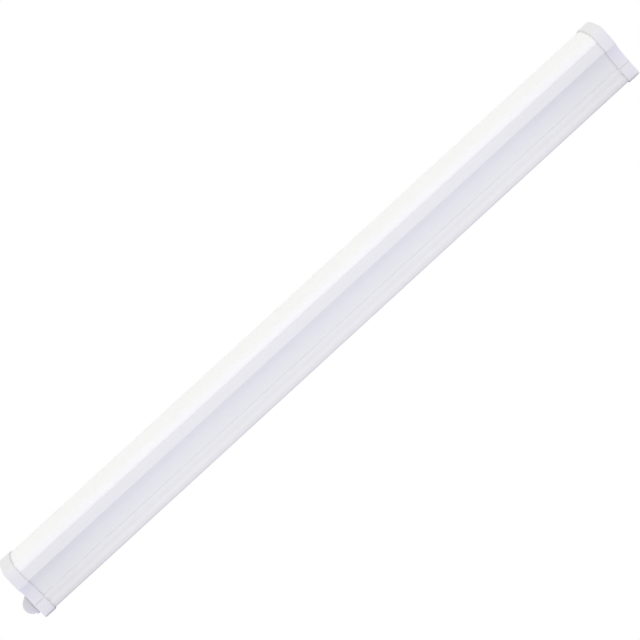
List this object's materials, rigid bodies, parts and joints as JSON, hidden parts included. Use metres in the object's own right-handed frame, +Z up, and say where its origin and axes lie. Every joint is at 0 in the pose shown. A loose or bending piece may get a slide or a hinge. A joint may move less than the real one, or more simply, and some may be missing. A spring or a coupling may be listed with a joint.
{
  "type": "led light tube",
  "caption": "Damp-proof LED light tube: white extruded housing with opal domed diffuser, pull-on end caps, cable gland, and LED boards, driver and terminal inside.",
  "frame": {"origin": "mid-length between the end caps' faces, on the plane that both caps stand on", "axes": "+X along the tube away from the gland, +Y across the tube, +Z up from the mounting plane towards the dome"},
  "size_m": [0.6102, 0.0716, 0.052],
  "materials": {
    "housing_white": "satin co-extruded polycarbonate",
    "diffuser_opal": "opal polycarbonate, satin",
    "cap_white": "moulded, fine satin",
    "gland_grey": "moulded polyamide, satin",
    "rubber_black": "matte",
    "rubber_grey": "matte",
    "tray_white": "white powder coat",
    "board_white": "white solder mask",
    "led_yellow": "phosphor gel",
    "board_green": "green solder mask",
    "case_white": "moulded, satin",
    "copper_yellow": "taped winding",
    "capacitor_dark": "sleeved can",
    "zinc_steel": "zinc plated",
    "brass": "plain",
    "terminal_white": "moulded, satin",
    "button_orange": "satin",
    "button_blue": "satin",
    "button_green": "satin",
    "wire_brown": "PVC sleeve",
    "wire_blue": "PVC sleeve",
    "wire_green": "PVC sleeve, yellow stripe",
    "wire_red": "PVC sleeve",
    "wire_black": "PVC sleeve",
    "wire_white": "PVC sleeve"
  },
  "bodies": {
    "housing": {"housing": "housing_white", "diffuser": "diffuser_opal", "gear_tray": "tray_white", "led_board_a": "board_white", "led_board_b": "board_white", "led_chips": "led_yellow", "board_screws": "zinc_steel", "board_connectors": "terminal_white", "driver_case": "case_white", "driver_lid": "case_white", "driver_board": "board_green", "driver_transformer": "copper_yellow", "driver_capacitors": "capacitor_dark", "driver_screws": "zinc_steel", "terminal_block": "terminal_white", "terminal_clamps": "brass", "live_wire": "wire_brown", "neutral_wire": "wire_blue", "earth_wire": "wire_green", "positive_wire": "wire_red", "negative_wire": "wire_black", "jumper_wires": "wire_white", "earth_tag": "brass", "earth_screw": "zinc_steel", "tray_grommet": "rubber_black"},
    "live_button": {"live_button": "button_orange"},
    "neutral_button": {"neutral_button": "button_blue"},
    "earth_button": {"earth_button": "button_green"},
    "feed_cap": {"feed_cap": "cap_white", "feed_gasket": "rubber_black", "feed_cap_screws": "zinc_steel", "gland_washer": "rubber_grey", "gland_body": "gland_grey", "gland_locknut": "gland_grey"},
    "gland_seal": {"gland_seal": "rubber_grey"},
    "gland_nut": {"gland_nut": "gland_grey"},
    "far_cap": {"far_cap": "cap_white", "far_gasket": "rubber_black", "far_cap_screws": "zinc_steel"}
  },
  "joints": [
    {"name": "feed_cap_pull", "type": "slide", "parent": "housing", "child": "feed_cap", "axis": [-1, 0, 0], "range_m": [0, 0.04]},
    {"name": "far_cap_pull", "type": "slide", "parent": "housing", "child": "far_cap", "axis": [1, 0, 0], "range_m": [0, 0.04]},
    {"name": "gland_travel", "type": "slide", "parent": "feed_cap", "child": "gland_seal", "axis": [-1, 0, 0], "range_m": [0, 0.0045]},
    {"name": "gland_nut_turn", "type": "hinge", "parent": "gland_seal", "child": "gland_nut", "pos_m": [-0.307, 0, 0.0117], "axis": [-1, 0, 0], "range_deg": [0, 1083]},
    {"name": "live_press", "type": "slide", "parent": "housing", "child": "live_button", "axis": [1, 0, 0], "range_m": [0, 0.0015], "stiffness_N_per_m": 800, "springref_m": -0.0005},
    {"name": "neutral_press", "type": "slide", "parent": "housing", "child": "neutral_button", "axis": [1, 0, 0], "range_m": [0, 0.0015], "stiffness_N_per_m": 800, "springref_m": -0.0005},
    {"name": "earth_press", "type": "slide", "parent": "housing", "child": "earth_button", "axis": [1, 0, 0], "range_m": [0, 0.0015], "stiffness_N_per_m": 800, "springref_m": -0.0005}
  ],
  "couplings": [
    {"joint": "gland_nut_turn", "follows": "gland_travel", "rad_per_m": 4188.8}
  ]
}
